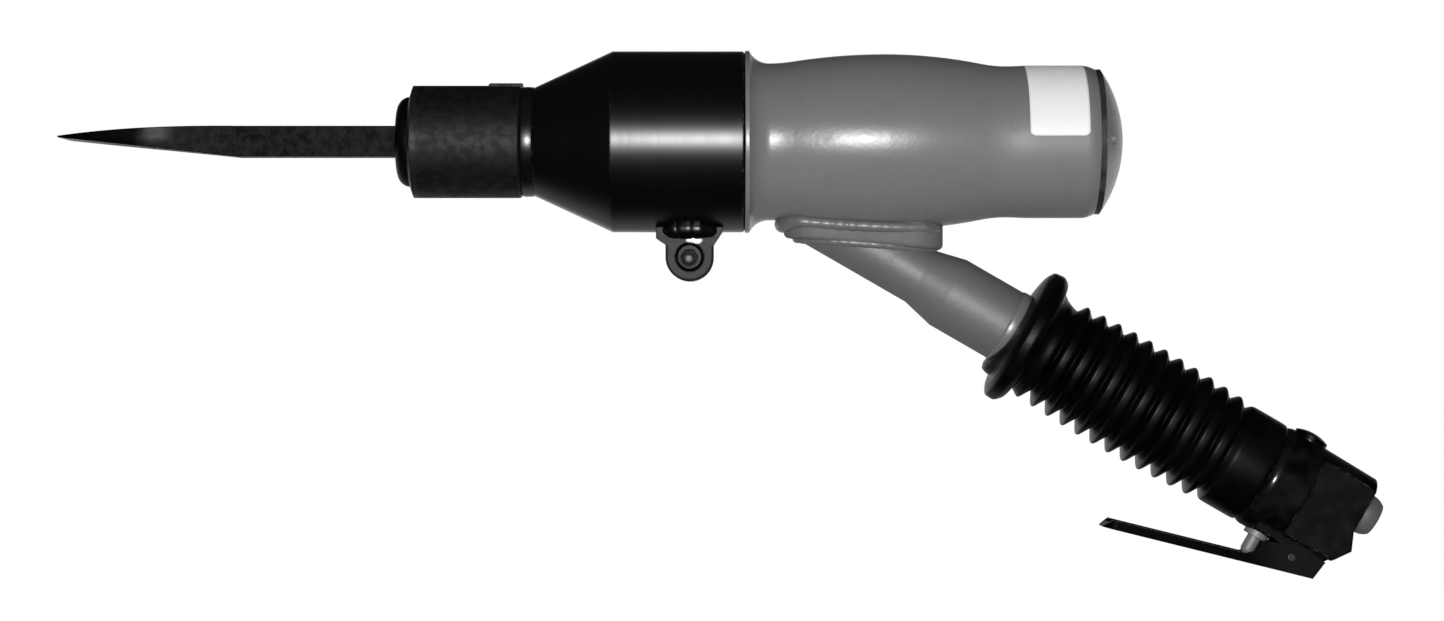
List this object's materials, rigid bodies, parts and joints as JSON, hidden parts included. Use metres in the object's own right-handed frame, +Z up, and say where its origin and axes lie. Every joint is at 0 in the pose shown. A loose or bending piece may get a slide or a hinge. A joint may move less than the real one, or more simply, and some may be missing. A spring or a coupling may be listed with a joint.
{
  "type": "pneumatic chisel scaler",
  "caption": "Hand held pneumatic hammer with a flat chisel in a clamped nose, a barrel body, and a slanted ribbed pipe grip that ends in a throttle with a squeeze lever.",
  "frame": {"origin": "on the line of strike, at the front face of the nose cap, where the chisel comes out", "axes": "+X back along the line of strike, from the chisel's edge to the rear cap; +Z up, away from the handle; +Y across, so that the clamp screw's head faces -Y"},
  "size_m": [0.4743, 0.0654, 0.1893],
  "materials": {
    "tool_steel": "dark forged and ground tool steel",
    "phosphated_steel": "matte black phosphate",
    "black_rubber": "plain black moulded rubber",
    "grip_rubber": "semi-matte black moulded rubber",
    "gloss_black_paint": "gloss black paint on steel",
    "satin_grey_paint": "satin mid-grey paint on steel",
    "bare_steel": "dull machined steel",
    "blackened_screw": "oil-blackened screw steel",
    "zinc_steel": "bright zinc plate",
    "ground_steel": "hardened and ground steel",
    "spring_steel": "dark drawn spring wire",
    "brass": "turned brass",
    "black_anodised": "black anodised aluminium",
    "lever_steel": "folded sheet steel, black finish"
  },
  "bodies": {
    "tool": {"body_casing": "satin_grey_paint", "front_tube": "gloss_black_paint", "clamp_ears": "bare_steel", "clamp_screw": "blackened_screw", "clamp_washer": "zinc_steel", "clamp_nut": "zinc_steel", "chisel_holder": "phosphated_steel", "nose_cap": "black_rubber", "retaining_key": "phosphated_steel", "key_ring": "black_rubber", "rear_cap": "satin_grey_paint", "rear_cap_seal": "black_rubber", "handle_saddle": "satin_grey_paint", "handle_pipe": "satin_grey_paint", "grip": "grip_rubber", "throttle_body": "black_anodised", "inlet_bush": "bare_steel", "inlet_strainer": "brass", "valve_plug": "phosphated_steel", "plug_washer": "black_rubber", "stem_bush": "zinc_steel", "stem_seal": "black_rubber", "lever_pin": "blackened_screw", "front_spring": "spring_steel", "rear_spring": "spring_steel", "valve_spring": "spring_steel"},
    "chisel_body": {"chisel": "tool_steel"},
    "hammer": {"piston": "ground_steel"},
    "float": {"cylinder": "ground_steel", "cylinder_seals": "black_rubber", "valve_plate": "ground_steel", "valve_chest": "ground_steel", "chest_screws": "blackened_screw"},
    "disc": {"valve_disc": "ground_steel"},
    "lever": {"throttle_lever": "lever_steel"},
    "stem": {"valve_stem": "ground_steel", "stem_face_washer": "black_rubber"}
  },
  "joints": [
    {"name": "chisel_slide", "type": "slide", "parent": "tool", "child": "chisel_body", "axis": [-1, 0, 0], "range_m": [0, 0.006]},
    {"name": "piston_stroke", "type": "slide", "parent": "tool", "child": "hammer", "axis": [1, 0, 0], "range_m": [0, 0.042]},
    {"name": "cylinder_float", "type": "slide", "parent": "tool", "child": "float", "axis": [1, 0, 0], "range_m": [-0.003, 0.003], "stiffness_N_per_m": 12000, "deforming": ["front_spring", "rear_spring"]},
    {"name": "disc_flutter", "type": "slide", "parent": "float", "child": "disc", "axis": [1, 0, 0], "range_m": [0, 0.0026]},
    {"name": "lever_squeeze", "type": "hinge", "parent": "tool", "child": "lever", "pos_m": [0.32084, 0, -0.14887], "axis": [0, 1, 0], "range_deg": [0, 14], "stiffness_Nm_per_rad": 1, "springref_deg": -11.46},
    {"name": "stem_push", "type": "slide", "parent": "tool", "child": "stem", "axis": [0.5, 0, 0.866], "range_m": [0, 0.0036], "deforming": ["valve_spring"]}
  ],
  "couplings": [
    {"joint": "stem_push", "follows": "lever_squeeze", "m_per_rad": 0.014725}
  ]
}
